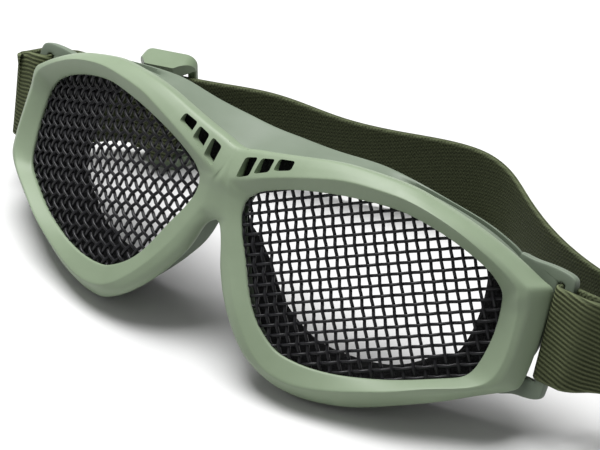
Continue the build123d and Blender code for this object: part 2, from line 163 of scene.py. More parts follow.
def closed_over(thing, *ends):
    """The piece with a face over each ring of points given, and then all its faces turned outwards."""
    edit = bmesh.new()
    edit.from_mesh(thing.data)
    edit.verts.ensure_lookup_table()
    for end in ends:
        edit.faces.new([edit.verts[i] for i in end])
    bmesh.ops.recalc_face_normals(edit, faces=edit.faces)
    edit.to_mesh(thing.data)
    edit.free()


def finished(thing, kind, **settings):
    """The piece with a modifier of that kind and settings worked out in its mesh."""
    modifier = thing.modifiers.new(kind, kind)
    for key, value in settings.items():
        setattr(modifier, key, value)
    bpy.context.view_layer.update()
    mesh = bpy.data.meshes.new_from_object(thing.evaluated_get(bpy.context.evaluated_depsgraph_get()))
    thing.modifiers.clear()
    thing.data = mesh


def both_halves(name, rows):
    """Closed piece from rings of one half, each joined to the next and the last to the first, with its mirror
    image. Faces on the middle plane are left out, so the halves meet in one skin."""
    rings, stations = rows.shape[:2]
    faces = cells(rings, stations, True, True)
    half = rows.reshape(-1, 3)
    faces = faces[~(np.abs(half[:, 0][faces]) < 1e-6).all(1)]
    points = np.vstack([half, half * (-1, 1, 1)])
    thing = piece(name, stood(points), np.vstack([faces, faces[:, ::-1] + len(half)]))
    finished(thing, "WELD", merge_threshold=2e-5)
    closed_over(thing)
    finished(thing, "SUBSURF", levels=1, render_levels=1)
    return thing


edge, crest = half_outline(band_edge, steps), smooth_loop(crest_line, steps)
rim_edge = smooth_loop(opening_edge, steps)
(edge_x, edge_z), (crest_x, crest_z) = edge.T, crest.T

# The crest swells forward where the frame turns to the side, stands forward along the brow, and dips back at
# the saddle of the nose
side_swell, brow_lift, saddle_dip, opening_lip = .9, .9, .5, .6
lens_depth = wrap(rim_edge[:, 0], *lens_wrap)
opening_depth = lens_depth - opening_lip
saddle = rise(crest_x, 17, 7) * rise(crest_z, -1, -7)
crest_depth = (wrap(crest_x, *crest_wrap) - side_swell * np.exp(-((crest_x - 60) / 12) ** 2)
               - brow_lift * rise(crest_z, -3, 1) + saddle_dip * saddle)

# The band falls back from the crest to the outer edge, further round the side and under the cheeks. Up the
# middle line it falls only at the brow and at the arch, and the arch's legs are nearly flat.
band_drop, side_drop, cheek_drop = 2.0, 2.6, 3.6
middle_line = np.arange(len(edge)) > arch_point * steps
middle_fall = np.clip((edge_z - 1) / 8, 0, 1) ** 1.3 + np.clip((-6 - edge_z) / 4.6, 0, 1) ** 2
legs = rise(edge_z, -7, -12) * rise(edge_x, 34, 18) * rise(edge_x, 0, 3)
low_wall = cheek_drop * rise(edge_z, -9, -18) * rise(edge_x, 76, 52) * (1 - .8 * legs)
band_fall = (band_drop + side_drop * rise(edge_x, 55, 83)) * np.where(middle_line, middle_fall, 1)
middle_dip = (saddle_dip * rise(edge_z, -1, -7) - brow_lift * rise(edge_z, -3, 1)) * (1 - middle_fall)
edge_depth = wrap(edge_x, *edge_wrap) + band_fall + low_wall + np.where(middle_line, middle_dip, 0)
back_depth = wrap(edge_x, *parting_wrap) + .5 * low_wall
edge_back = edge + (crest - edge) * .55 * legs[:, None]
at_side = rise(edge_x, 58, 78)

# Shares out and back of the rings across the bevel, and across the band with what its side and legs take off
bevel_rings = ((.12, .12), (.5, .54), (.92, .95))
band_rings = ((0, 0, 0, 0), (.1, .07, .04, .05), (.45, .36, .23, .26), (.55, .45, .25, .3), (.88, .82, .1, .42))
pocket = rim_edge + (crest - rim_edge) / np.linalg.norm(crest - rim_edge, axis=1)[:, None] * lens_pocket
bezel = both_halves("bezel", np.stack([
    at_depth(rim_edge, lens_depth + .6),
    at_depth(rim_edge, opening_depth + .25),
    ring(rim_edge, crest, .05, opening_depth - .05),
    *(ring(rim_edge, crest, out, opening_depth + (crest_depth - opening_depth) * back)
      for out, back in bevel_rings),
    *(ring(crest, edge, out, crest_depth + (edge_depth - crest_depth) * (back - side * at_side - leg * legs))
      for out, back, side, leg in band_rings),
    at_depth(edge, edge_depth),
    ring(edge, edge_back, .35, edge_depth * .6 + back_depth * .4),
    at_depth(edge_back, back_depth - .3),
    ring(crest, edge_back, .97, back_depth),
    at_depth(pocket, wrap(pocket[:, 0], *parting_wrap)),
    at_depth(pocket, wrap(pocket[:, 0], *pocket_wrap)),
]))

# The saddle over the nose is blended by smoothing the front of the mesh there, more towards the middle
places = np.zeros(len(bezel.data.vertices) * 3)
bezel.data.vertices.foreach_get("co", places)
x, y, z = (places.reshape(-1, 3) * 1000 - brow_place).T
from_front, height = y * np.cos(lean) - z * np.sin(lean), y * np.sin(lean) + z * np.cos(lean)
blended = rise(np.abs(x), 11, 4) * np.clip((7.5 - height) / 3, 0, 1) * (from_front < 3)
nose = bezel.vertex_groups.new(name="nose")
for weight in range(1, 11):
    nose.add(np.nonzero(np.ceil(blended * 10) == weight)[0].tolist(), weight / 10, "REPLACE")
finished(bezel, "SMOOTH", factor=.5, iterations=30, vertex_group="nose")


def prism(name, outline, front, back, corner):
    """Prism that cuts through the bezel from front to back. Each corner of its outline is a quadratic curve
    that leaves the sides at a corner's length from the point where they meet."""
    outline = np.asarray(outline, float)
    before, after = np.roll(outline, 1, 0) - outline, np.roll(outline, -1, 0) - outline
    before, after = (v / np.linalg.norm(v, axis=1)[:, None] * corner for v in (before, after))
    t = np.array([0, .25, .5, .75, 1])[None, :, None]
    flat = (outline[:, None] + (1 - t) ** 2 * before[:, None] + t ** 2 * after[:, None]).reshape(-1, 2)
    n = len(flat)
    both_ends = stood(np.vstack([at_depth(flat, front), at_depth(flat, back)]))
    thing = piece(name, both_ends, cells(2, n, False, True), False)
    closed_over(thing, range(n), range(n, 2 * n)[::-1])
    return thing


cutters = [prism(f"vent_{side}_{i}", np.array(vent) * (side, 1), vent_front, vent_back, vent_corner)
           for side in (-1, 1) for i, vent in enumerate(vents)]
cutters += [prism(f"vent_room_{side}", vent_room * (side, 1), room_front, vent_back, room_corner)
            for side in (-1, 1)]
for cutter in cutters:
    finished(bezel, "BOOLEAN", object=cutter, operation="DIFFERENCE", solver="EXACT")
    bpy.data.objects.remove(cutter)
bezel.data.set_sharp_from_angle(angle=np.radians(42))


class Reading:
    """A number that varies over a surface. Arithmetic on it adds the Math nodes that work it out, and so do its
    sine, its size without the sign, and whether it is above a value, as 1 or 0."""

    def __init__(self, finish, socket):
        self.finish, self.socket = finish, socket

    def math(self, operation, *values):
        """The operation on this number and the values, by one Math node."""
        return self.finish.node("Math", {"operation": operation}, dict(enumerate((self, *values))))[0]

    def __add__(self, other): return self.math("ADD", other)
    def __mul__(self, other): return self.math("MULTIPLY", other)
    def __sub__(self, other): return self.math("SUBTRACT", other)
    def __rsub__(self, other): return (self * -1) + other
    __radd__, __rmul__ = __add__, __mul__

    def sine(self): return self.math("SINE")
    def size(self): return self.math("ABSOLUTE")
    def above(self, value): return self.math("GREATER_THAN", value)


class Finish:
    """A material's nodes: a Principled shader, and what feeds it."""

    def __init__(self, name, slot, **constants):
        self.material, self.slot = bpy.data.materials.new(name), slot
        self.material.use_nodes = True
        self.tree = self.material.node_tree
        self.shader = self.tree.nodes["Principled BSDF"]
        self.feed(**constants)

    def put(self, socket, value):
        """A link into the socket, or else its own constant: a colour with alpha 1, or a number."""
        if isinstance(value, Reading):
            self.tree.links.new(value.socket, socket)
        elif socket.type == "RGBA":
            socket.default_value = (*value, 1)
        else:
            socket.default_value = value

    def node(self, kind, settings=None, sockets=None):
        """Any node: its type, its settings, then the values or links of its sockets. Gives its outputs."""
        made = self.tree.nodes.new("ShaderNode" + kind)
        for key, value in (settings or {}).items():
            setattr(made, key, value)
        for key, value in (sockets or {}).items():
            self.put(made.inputs[key], value)
        return [Reading(self, output) for output in made.outputs if output.enabled]

    def where(self):
        """The place on the object, from its Object coordinates."""
        return self.node("TexCoord")[3]

    def blend(self, share, first, second):
        """Colour at a share of the way from the first to the second."""
        return self.node("Mix", {"data_type": "RGBA"}, {0: share, 6: first, 7: second})[0]

    def noise(self, scale, detail=2, rough=.5):
        """Cloudy value about a half, its size one over the scale in metres."""
        sockets = {"Vector": self.where(), "Scale": scale, "Detail": detail, "Roughness": rough}
        return self.node("TexNoise", None, sockets)[0]

    def feed(self, **inputs):
        """The shader's own sockets, by their names with _ for each space."""
        for key, value in inputs.items():
            self.put(self.shader.inputs[key.replace("_", " ")], value)

    def bump(self, height, strength, distance):
        """Relief of the height times the distance in metres, at a strength."""
        relief = self.node("Bump", None, {"Height": height, "Strength": strength, "Distance": distance})
        self.feed(Normal=relief[0])

    def on(self, *things):
        """The things coated with this material."""
        for thing in things:
            thing.data.materials.clear()
            thing.data.materials.append(self.material)


def moulded(name, slot, light, dark, roughness):
    """Moulded plastic: slow cloudy change of shade, a fine mould grain and a few faint rubs. The shade is 1.6
    times the cloud's part past a half, and 0.3 of the rubs, from dark to light."""
    finish = Finish(name, slot, IOR=1.46, Specular_IOR_Level=.42)
    cloud, grain, rubs = finish.noise(42, 3), finish.noise(2600, 2, .6), finish.noise(330, 4, .62)
    finish.feed(Base_Color=finish.blend((cloud - .5) * 1.6 + rubs * .3 + .35, dark, light),
                Roughness=rubs * .16 + cloud * .06 + (roughness - .11))
    finish.bump(grain * .6 + rubs * .4, .35, .00006)
    return finish


frame_plastic = moulded("frame_plastic", "frame_plastic", (.248, .312, .212), (.200, .256, .168), .46)
frame_plastic.on(bezel)
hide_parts("front_frame")
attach(bezel, "frame")

# Rear frame: the second moulding, in the same plastic, its colour drawn darker and greyer than the bezel's as
# painted shade. Its skirt slopes up and back from the bezel's edge to a thin rim round the face, with a valley
# behind the brow, and at each side a lug with a tall slot holds the strap. It snaps into the back of the bezel
# and traps the lenses.
roof_edge = np.array([
    (0, 15), (4.5, 15.1), (9, 15.3), (19, 15.7), (28, 16.5), (36, 16.7), (45, 15.9), (52, 14.9), (61, 13.4),
    (67.5, 11.4), (72, 9.2), (76.5, 5.5), (79.5, 2), (81.2, -7), (81.2, -14), (80.2, -18.5), (78, -22),
    (73, -26), (67, -29.5), (60, -32.8), (52.5, -36), (45, -38.2), (37, -39.4), (30, -39), (25, -37),
    (20.3, -33.6), (15.5, -28.9), (11.2, -23.7), (7.8, -18.4), (5.4, -14.2), (3, -10.8), (0, -9.2), (0, -6.5),
    (0, -2), (0, 4), (0, 10)], float)
rim_wrap, rim_thick, rim_round = (14.8, 4, 219), 1.7, .25
bridge_cut, wing_cut = 8.4, 2.5
root_inset, seat_wrap = 1.1, (5.0, 10, 149.6)
floor_reach, undercut_reach = .8, .2  # of the valley's floor and undercut lip, from the rim to the eye opening
floor_forward, undercut_forward = .8, 1.5
cavity_reach, cavity_back, cavity_front = 3.3, (8.2, 10, 148), (5.6, 10, 149)
window_reach, window_back, window_front = 1.0, (5.5, 10, 149), (4.2, 10, 149.6)


def shrunk(loop, inset):
    """Loop moved in along its own normals, which are its direction from the point before to the one after,
    turned by a right angle. Points on the middle plane stay on it."""
    ahead = np.roll(loop, -1, 0) - np.roll(loop, 1, 0)
    ahead /= np.linalg.norm(ahead, axis=1)[:, None]
    moved = loop + np.stack([ahead[:, 1], -ahead[:, 0]], 1) * inset
    on_plane = np.abs(loop[:, 0]) < 1e-9
    moved[on_plane] = loop[on_plane]
    if on_plane.any():
        moved[0, 1] -= inset
        moved[arch_point * steps, 1] += inset
    moved[:, 0] = np.maximum(moved[:, 0], 0)
    return moved


def bridge(loop):
    """Share by which a place belongs to the bridge of the nose: three smooth steps multiplied."""
    x, z = loop.T
    return rise(z, 12, 4) * rise(z, -22, -4) * rise(x, 24, 10)


def rim_depth(loop):
    """Depth of the rim: its wrap, less what is cut away for the bridge of the nose and beside its wings."""
    x, z = loop.T
    return wrap(x, *rim_wrap) - bridge_cut * bridge(loop) - wing_cut * rise(z, -12, -24) * rise(x, 40, 14)


def pushed(plain, grooved):
    """The plain ring, changed to the grooved one by the valley's share."""
    return plain + (grooved - plain) * valley[:, None]


roof = half_outline(roof_edge, steps)
root, rim_inside, rim_top = shrunk(edge_back, root_inset), shrunk(roof, rim_thick), shrunk(roof, rim_round)
cavity, window = shrunk(rim_edge, -cavity_reach), shrunk(rim_edge, -window_reach)
seat, roof_depth = wrap(root[:, 0], *seat_wrap), rim_depth(roof)
valley = rise(root[:, 0], 28, 44) * rise(root[:, 1], -6, -1)
sunk = (cavity - root) * (floor_reach * valley)[:, None]
valley_floor, under_lip = (roof + (cavity - roof) * reach for reach in (floor_reach, undercut_reach))
skirt = both_halves("rear_frame_skirt", np.stack([
    at_depth(root, seat),
    ring(root + sunk, roof + sunk, .06, seat * .87 + rim_depth(root) * .13),
    pushed(ring(root, roof, .42, seat * .5 + roof_depth * .5), at_depth(valley_floor, roof_depth - floor_forward)),
    pushed(ring(root, roof, .86, seat * .12 + roof_depth * .88), at_depth(under_lip, roof_depth - undercut_forward)),
    at_depth(roof, roof_depth - .3 - .9 * valley),
    at_depth(rim_top, rim_depth(rim_top)),
    at_depth(rim_inside, rim_depth(rim_inside)),
    at_depth(rim_inside, rim_depth(rim_inside) - .4),
    ring(cavity, rim_inside, .12, np.minimum(wrap(cavity[:, 0], *cavity_back), rim_depth(rim_inside) - .7)),
    at_depth(cavity, wrap(cavity[:, 0], *cavity_front)),
    at_depth(window, wrap(window[:, 0], *window_back)),
    at_depth(window, wrap(window[:, 0], *window_front)),
]))
skirt.data.set_sharp_from_angle(angle=np.radians(40))

# Lug: a plate with the strap's slot, drawn as x and height from the strap's middle line. The bar is its outer
# side, and the strap's pull tips the plate forward at the top by a part of the strap's own tip.
strap_z, bar_tip, lug_tip_share = -5.5, np.radians(10), .4
bar_inner, bar_outer, bar_thick, bar_middle = 85.2, 87.9, 2.6, 26.4
lug_outline = np.array([
    (70, 14.2), (74, 14.8), (78.5, 15.0), (82.5, 15.1), (86.2, 14.7), (87.7, 13.2), (87.9, 9), (87.9, 0),
    (87.9, -9), (87.8, -14.6), (86.9, -16.6), (83.5, -17.5), (79, -18.4), (74.5, -18.8), (73, -9), (72, 0),
    (71, 8)])
slot_outline = np.array([
    (83.3, 11.5), (83.6, 12.0), (84.1, 12.2), (84.6, 12.15), (85.0, 11.9), (85.2, 11.4), (85.2, 9), (85.2, 0),
    (85.2, -9), (85.2, -11.8), (84.8, -12.6), (83.6, -12.7), (82.0, -12.7), (81.0, -12.2), (81.3, -9.5),
    (82.9, -4.5), (83.2, 5)])
lug_rings = (  # shares of the way to the slot, and of the thickness
    (0, .36), (0, -.36), (.04, -.47), (.12, -.5), (.88, -.5), (.96, -.47), (1, -.36), (1, .36), (.96, .47),
    (.88, .5), (.12, .5), (.04, .47))


def tipped(points, share=1):
    """Points turned about the strap's middle line by a share of the tip, forward at the top."""
    x, y, z = np.moveaxis(np.asarray(points, float), -1, 0)
    y, z, turn = y - bar_middle, z - strap_z, bar_tip * share
    return np.stack([x, bar_middle + y * np.cos(turn) - z * np.sin(turn),
                     strap_z + y * np.sin(turn) + z * np.cos(turn)], -1)


lug_loop, slot_loop = smooth_loop(lug_outline, 6) + (0, strap_z), smooth_loop(slot_outline, 6) + (0, strap_z)
lug_points = tipped([ring(lug_loop, slot_loop, share, bar_middle + back * bar_thick) for share, back in lug_rings],
                    lug_tip_share)
lugs = [piece(name, stood(lug_points * (side, 1, 1)), cells(*lug_points.shape[:2], True, True)[:, ::-side])
        for side, name in ((1, "strap_lug_left"), (-1, "strap_lug_right"))]
# The rear plastic is the frame plastic drawn darker and greyer: painted shade on the skirt and lugs.
rear_plastic_painted_shade = moulded("rear_frame_plastic_painted_shade", "frame_plastic", (.168, .207, .156), (.134, .168, .122), .5)
rear_plastic_painted_shade.on(skirt, *lugs)
for lug in lugs:
    finished(lug, "SUBSURF", levels=1, render_levels=1)
for moulding in (skirt, *lugs):
    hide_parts("rear_frame")
    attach(moulding, "frame")

# Mesh lenses: black-coated steel wire woven over and under on a slant, bent to the wrap of the face and
# trapped between the two mouldings. The wires of the right eye slant the other way.
wire, crimp, wire_sides, points_a_pitch = .86, .36, 6, 5
mesh_front, mesh_flat, mesh_radius = 1.8, 10, 135
tucked_in = 1.6  # how far the wires reach past the opening, into the frame


def woven(name, side, slant, pitch):
    """Tubes round wires that lie along lines of two crossing sets. Along a wire the height above the wrapped
    surface is the crimp times the wire times cos(pi s / pitch), turned round from each wire to the next."""
    outline = smooth_loop(opening_edge, 6)
    middle = outline.mean(0)
    outline = middle + (outline - middle) * (1 + tucked_in / np.linalg.norm(outline - middle, axis=1))[:, None]
    points, faces, count = [], [], 0
    around = (np.linspace(0, 2 * np.pi, wire_sides, endpoint=False) + np.pi / 6)[None, :, None]
    for k, turn in enumerate((slant, slant + np.pi / 2)):
        along, across = np.array([np.cos(turn), np.sin(turn)]), np.array([-np.sin(turn), np.cos(turn)])
        s, t = (outline - middle) @ along, (outline - middle) @ across
        for i in range(int(np.ceil(t.min() / pitch)), int(np.floor(t.max() / pitch)) + 1):
            level = i * pitch
            cross = np.nonzero((t - level) * (np.roll(t, -1) - level) < 0)[0]
            share = (level - t[cross]) / (np.roll(t, -1)[cross] - t[cross])
            ends = s[cross] + (np.roll(s, -1)[cross] - s[cross]) * share
            low, high = ends.min(), ends.max()
            if high - low < pitch:
                continue
            run = np.linspace(low, high, int((high - low) / pitch * points_a_pitch) + 2)
            lift = crimp * wire * np.cos(np.pi * (run / pitch + i + k))
            flat = middle + run[:, None] * along + level * across
            past = np.maximum(flat[:, 0] - mesh_flat, 0)
            slope = past / np.sqrt(mesh_radius ** 2 - past ** 2)
            out = np.stack([slope, -np.ones_like(slope), 0 * slope], 1) / np.sqrt(1 + slope ** 2)[:, None]
            line = at_depth(flat, wrap(flat[:, 0], mesh_front, mesh_flat, mesh_radius)) + out * lift[:, None]
            ahead = np.gradient(line, axis=0)
            ahead /= np.linalg.norm(ahead, axis=1)[:, None]
            beside = np.cross(ahead, out)
            beside /= np.linalg.norm(beside, axis=1)[:, None]
            up = np.cross(beside, ahead)
            tube = line[:, None] + wire / 2 * (np.cos(around) * beside[:, None] + np.sin(around) * up[:, None])
            points.append(tube.reshape(-1, 3))
            faces.append(cells(len(run), wire_sides, False, True) + count)
            count += len(run) * wire_sides
    return piece(name, stood(np.vstack(points) * (side, 1, 1)), np.vstack(faces)[:, ::-side])


steel = Finish("black_steel_wire", "steel_mesh", Metallic=0.0, IOR=1.45, Specular_IOR_Level=.3)
wear = steel.noise(900, 3, .6)
steel.feed(Base_Color=steel.blend(wear, (.006, .006, .007), (.018, .018, .021)), Roughness=wear * .2 + .26)
steel.bump(wear, .3, .00004)
for side, name, node, slant, pitch in ((1, "wire_mesh_left", "mesh_lens_left", 26, 2.5),
                                       (-1, "wire_mesh_right", "mesh_lens_right", 30, 2.53)):
    mesh = woven(name, side, np.radians(slant), pitch)
    steel.on(mesh)
    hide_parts(node)
    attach(mesh, "frame")

# Face foam: black open-cell foam glued to the back of the rear frame and crowned where it meets the face. It
# lines the wall of each eye space, which narrows towards the face at the temple and under the cheek.
pad_inset, wall_reach, lip_reach, inner_reach = 2.4, 2.9, 2.2, 1.5
temple_narrows, cheek_narrows = 13.5, 4.5
crown_thick, edge_thick = 6.0, 2.9  # the foam past the rim, at its crown and along its outer edge
nose_thins, bridge_thins, bridge_edge_thins = 3.2, 2.6, 2.2
wall_wrap, lip_wrap, inner_wrap = (6.2, 10, 146), (5.7, 10, 147), (5.6, 10, 146)
mouth_wrap, glued_wrap = (6.0, 10, 146), (6.4, 10, 146)
pad_edge = shrunk(half_outline(roof_edge, steps), pad_inset)
eye_wall, lip, eye_inner = (shrunk(rim_edge, -reach) for reach in (wall_reach, lip_reach, inner_reach))
temple = rise(eye_wall[:, 0], 40, 76)
narrowed = eye_inner + np.stack([-temple_narrows * rise(eye_inner[:, 0], 44, 76),
                                 cheek_narrows * rise(eye_inner[:, 1], -14, -34)], 1)
foam_back = (rim_depth(narrowed) + crown_thick - nose_thins * rise(narrowed[:, 0], 40, 8)
             - bridge_thins * bridge(narrowed))
foam_edge = rim_depth(pad_edge) + edge_thick - bridge_edge_thins * bridge(pad_edge)
pad = both_halves("face_pad", np.stack([
    at_depth(eye_wall, wrap(eye_wall[:, 0], *wall_wrap) - .2 * temple),
    at_depth(lip, wrap(lip[:, 0], *lip_wrap) - .6 * temple),
    ring(eye_inner, narrowed, .12, wrap(eye_inner[:, 0], *inner_wrap) - .4 * temple),
    ring(eye_inner, narrowed, .9, np.maximum(foam_back - 1.6, wrap(eye_inner[:, 0], *mouth_wrap))),
    ring(narrowed, pad_edge, .04, foam_back - .5),
    ring(narrowed, pad_edge, .3, foam_back),
    ring(narrowed, pad_edge, .7, foam_edge * .7 + foam_back * .3 + .5),
    ring(narrowed, pad_edge, .94, foam_edge),
    at_depth(pad_edge, foam_edge - .7),
    at_depth(pad_edge, rim_depth(pad_edge) - .4),
    ring(eye_wall, pad_edge, .3, rim_depth(pad_edge) * .5 + wrap(eye_wall[:, 0], *glued_wrap) * .5),
]))
foam = Finish("black_foam", "foam", IOR=1.4, Specular_IOR_Level=.2)
pores = foam.node("TexVoronoi", None, {"Vector": foam.where(), "Scale": 1500})[0]
foam.feed(Base_Color=foam.blend(pores, (.028, .028, .03), (.010, .010, .011)), Roughness=pores * .1 + .85)
foam.bump(pores, .6, .0003)
foam.on(pad)
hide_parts("face_foam")
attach(pad, "frame")

# Vent shade sheets: a flat strip of the same black foam, pressed into the room behind each row of vents as
# painted shade, so that the vents show black.
strip_front, strip_back, strip_round = 3.4, 5.2, .3
strip_rings = (  # shares of the way out to the room's wall, and depths
    (0, strip_front), (.9, strip_front), (.97, strip_front + strip_round), (.97, strip_back), (0, strip_back))
strip_middle = np.broadcast_to(vent_room.mean(0), vent_room.shape)
strip_points = np.stack([ring(strip_middle, vent_room, share, back) for share, back in strip_rings])
for side, name in ((1, "vent_shade_sheet_left"), (-1, "vent_shade_sheet_right")):
    strip = piece(name, stood(strip_points * (side, 1, 1)), cells(*strip_points.shape[:2], False, True)[:, ::side])
    finished(strip, "WELD", merge_threshold=1e-5)
    foam.on(strip)
    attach(strip, "frame")

# Strap: olive elastic webbing with fine ribs and a plain selvedge. It folds round the bar of each lug, lies
# on the table behind the goggles, and both its layers run to a slider, where its sewn end is held.
table_z, half_width = -43.125, 83.4
strap_width, strap_thick, bar_gap = 24.0, 1.3, .3
slider_gap, slider_rail, left_slider_lift = .6, 3.4, 6.2
front_loose, back_loose, dropped, loosened = 3.8, 3.4, 2.3, .8  # slack of the fold at the right lug
head_side_shift = .1  # what the map adds across the strap on its face towards the head


def table_points(points):
    """Points on the table's axes, in millimetres from the brow, in metres in the shared frame."""
    return (np.asarray(points, float) + brow_place) / 1000


def leant(points):
    """Points drawn upright, leant back with the frame, in millimetres from the brow on the table's axes."""
    return stood(points) * 1000 - brow_place


def unit(direction):
    """The direction, of length one."""
    return np.asarray(direction) / np.linalg.norm(direction)


def lifted(shares):
    """Strap's middle at shares of the half width: sideways, back and lift off the table."""
    return np.asarray(shares, float) * half_width + (0, 0, table_z + strap_width / 2)


def through(points, first, last, spacing):
    """Cubic curve through the points with given end directions, and its lengths: Hermite runs on chord length
    whose inner slopes solve the three-term rows for equal second derivatives."""
    points = np.asarray(points, float)
    n = len(points)
    gaps = np.linalg.norm(np.diff(points, axis=0), axis=1)
    rows, right = np.zeros((n, n)), np.zeros((n, points.shape[1]))
    rows[0, 0] = rows[-1, -1] = 1
    right[0], right[-1] = first, last
    inner = np.arange(1, n - 1)
    before, after = gaps[inner - 1], gaps[inner]
    rows[inner, inner - 1], rows[inner, inner], rows[inner, inner + 1] = after, 2 * (before + after), before
    chord = np.diff(points, axis=0) / gaps[:, None]
    right[inner] = 3 * (after[:, None] * chord[inner - 1] + before[:, None] * chord[inner])
    slopes = np.linalg.solve(rows, right)
    ends = np.concatenate([[0], np.cumsum(gaps)])
    s = np.linspace(0, ends[-1], int(ends[-1] / spacing) + 1)
    i = np.clip(np.searchsorted(ends, s, side="right") - 1, 0, n - 2)
    h, u = gaps[i][:, None], ((s - ends[i]) / gaps[i])[:, None]
    return (points[i] * (1 + 2 * u) * (1 - u) ** 2 + points[i + 1] * u ** 2 * (3 - 2 * u)
            + slopes[i] * h * u * (1 - u) ** 2 - slopes[i + 1] * h * u ** 2 * (1 - u)), s


def rounded(points, radius, spacing):
    """Open line of straight runs with its corners turned on arcs of the radius, sampled evenly. An arc starts
    and ends at the radius over the tangent of half the corner from it."""
    points = np.asarray(points, float)
    line = [points[:1]]
    for before, corner, after in zip(points, points[1:], points[2:]):
        a, b = unit(before - corner), unit(after - corner)
        half = np.arccos(np.clip(a @ b, -1, 1)) / 2
        t = np.linspace(0, 1, 9)[:, None]
        start, end = corner + a * radius / np.tan(half), corner + b * radius / np.tan(half)
        centre = corner + unit(a + b) * radius / np.sin(half)
        turn = np.pi - 2 * half
        arm = (start - centre) * np.sin((1 - t) * turn) + (end - centre) * np.sin(t * turn)
        line.append(centre + arm / np.sin(turn))
    line = np.vstack(line + [points[-1:]])
    length = np.concatenate([[0], np.cumsum(np.linalg.norm(np.diff(line, axis=0), axis=1))])
    s = np.linspace(0, length[-1], max(int(length[-1] / spacing), 2) + 1)
    return np.stack([np.interp(s, length, line[:, k]) for k in range(3)], 1)


def webbing(name, line, up):
    """Closed thin band along a line, and its length: a flat profile with round edges carried square to the
    line, its face towards line x up. Its map has the length run along it and the way across it, in metres,
    and on the face towards the head the shift is added to the way across."""
    ahead = np.gradient(line, axis=0)
    ahead /= np.linalg.norm(ahead, axis=1)[:, None]
    up = up - ahead * (up * ahead).sum(1)[:, None]
    up /= np.linalg.norm(up, axis=1)[:, None]
    out = np.cross(ahead, up)
    w, t = strap_width / 2, strap_thick / 2
    across = np.array([-w, -w + .15, -w + .5, -w * .66, -w * .33, 0, w * .33, w * .66, w - .5, w - .15, w])
    depth = np.array([.25, .7, 1, 1, 1, 1, 1, 1, 1, .7, .25]) * t
    profile = np.vstack([np.stack([across, depth], 1), np.stack([across, -depth], 1)[::-1]])
    n, m = len(line), len(profile)
    grid = line[:, None] + profile[None, :, :1] * up[:, None] + profile[None, :, 1:] * out[:, None]
    thing = piece(name, table_points(grid), cells(n, m, False, True))
    closed_over(thing, range(m), range((n - 1) * m, n * m)[::-1])
    run = np.concatenate([[0], np.cumsum(np.linalg.norm(np.diff(line, axis=0), axis=1))]) / 1000
    corners = np.zeros(len(thing.data.loops), int)
    thing.data.loops.foreach_get("vertex_index", corners)
    from_middle, towards_head = profile[corners % m].T
    uv = np.stack([run[corners // m], from_middle / 1000 + head_side_shift * (towards_head > 0)], 1)
    thing.data.uv_layers.new(name="weave").data.foreach_set("uv", uv.ravel())
    return thing, float(run[-1])


# Where the strap passes the lugs' bars, and where its sliders stand
off = bar_gap + strap_thick / 2
slot_x, outside_x = bar_inner - off, bar_outer + off
front_y, back_y = bar_middle - bar_thick / 2 - off, bar_middle + bar_thick / 2 + off
bar_centre = np.array([0, bar_middle, strap_z])
lean_up = (leant([tipped(bar_centre + (0, 0, 1))]) - leant([bar_centre]))[0]
back_way = (leant([tipped(bar_centre + (0, 1, 0))]) - leant([bar_centre]))[0]
left_direction, right_direction = unit([.977, .179, -.122]), unit([.945, .327, 0])
slider_half = strap_width / 2 + slider_gap + slider_rail
lead = 1.5  # the straight run at the end of a curve
left_middle = np.array([1.379 * half_width, .330 * half_width, table_z + slider_half + left_slider_lift])
right_middle = np.array([-.767 * half_width, .582 * half_width, table_z + slider_half])

# The fold at the right lug is slack: its outer turn leans further and hangs lower than the part in the slot
right_past_bar, right_bend, left_past_bar, left_bend, fold_spacing = 4.5, 1.7, 1.5, 1.4, .4
right_loop = rounded([
    (-slot_x, back_y + right_past_bar, strap_z), (-slot_x, front_y, strap_z),
    (-outside_x - front_loose, front_y, strap_z), (-outside_x - back_loose, back_y + right_past_bar, strap_z)],
    right_bend, fold_spacing)
slack = 1 + loosened * rise(-right_loop[:, 0], bar_inner - .5, outside_x + 2)
centres = np.tile(bar_centre, (len(slack), 1))
right_up = leant(tipped(centres + (0, 0, 1), slack)) - leant(tipped(centres, slack))
right_loop = leant(tipped(right_loop, 1.4)) - (slack - 1)[:, None] * (0, 0, dropped)
left_loop = leant(tipped(rounded([
    (outside_x + left_past_bar, front_y, strap_z), (slot_x, front_y, strap_z), (slot_x, back_y, strap_z),
    (outside_x + left_past_bar, back_y, strap_z)], left_bend, fold_spacing)))

# Behind the goggles the strap runs from the right lug past its slider, along the table with its hump and far
# turn as shares of the half width, and past the left slider to the left lug
back_route = lifted([
    (-.30, .730, .040), (-.16, .757, .028), (.02, .828, .014), (.17, .890, .010), (.30, .915, .004), (.41, .884, 0),
    (.52, .812, 0), (.70, .700, 0), (.92, .617, 0), (1.20, .580, 0), (1.50, .566, 0), (1.78, .560, .006),
    (1.97, .548, .020), (2.055, .500, .036), (2.02, .447, .048)])
past_right = right_middle + right_direction * half_width * np.array([[-.15], [0], [.2], [.38]])
past_left = left_middle + left_direction * half_width * np.array([[.52], [.36], [.18], [0], [-.16]])
stations = np.vstack([
    right_loop[-1:], right_loop[-1:] + back_way * lead, lifted([(-1.024, .448, .056)]), past_right, back_route,
    past_left, lifted([(1.163, .275, .150)]), left_loop[:1] + (lead, 0, 0), left_loop[:1]])
strap_spacing = 1.3
stretch, run_length = through(stations, back_way, np.array([-1.0, 0, 0]), strap_spacing)
strap_line = np.vstack([right_loop, stretch[1:-1], left_loop])

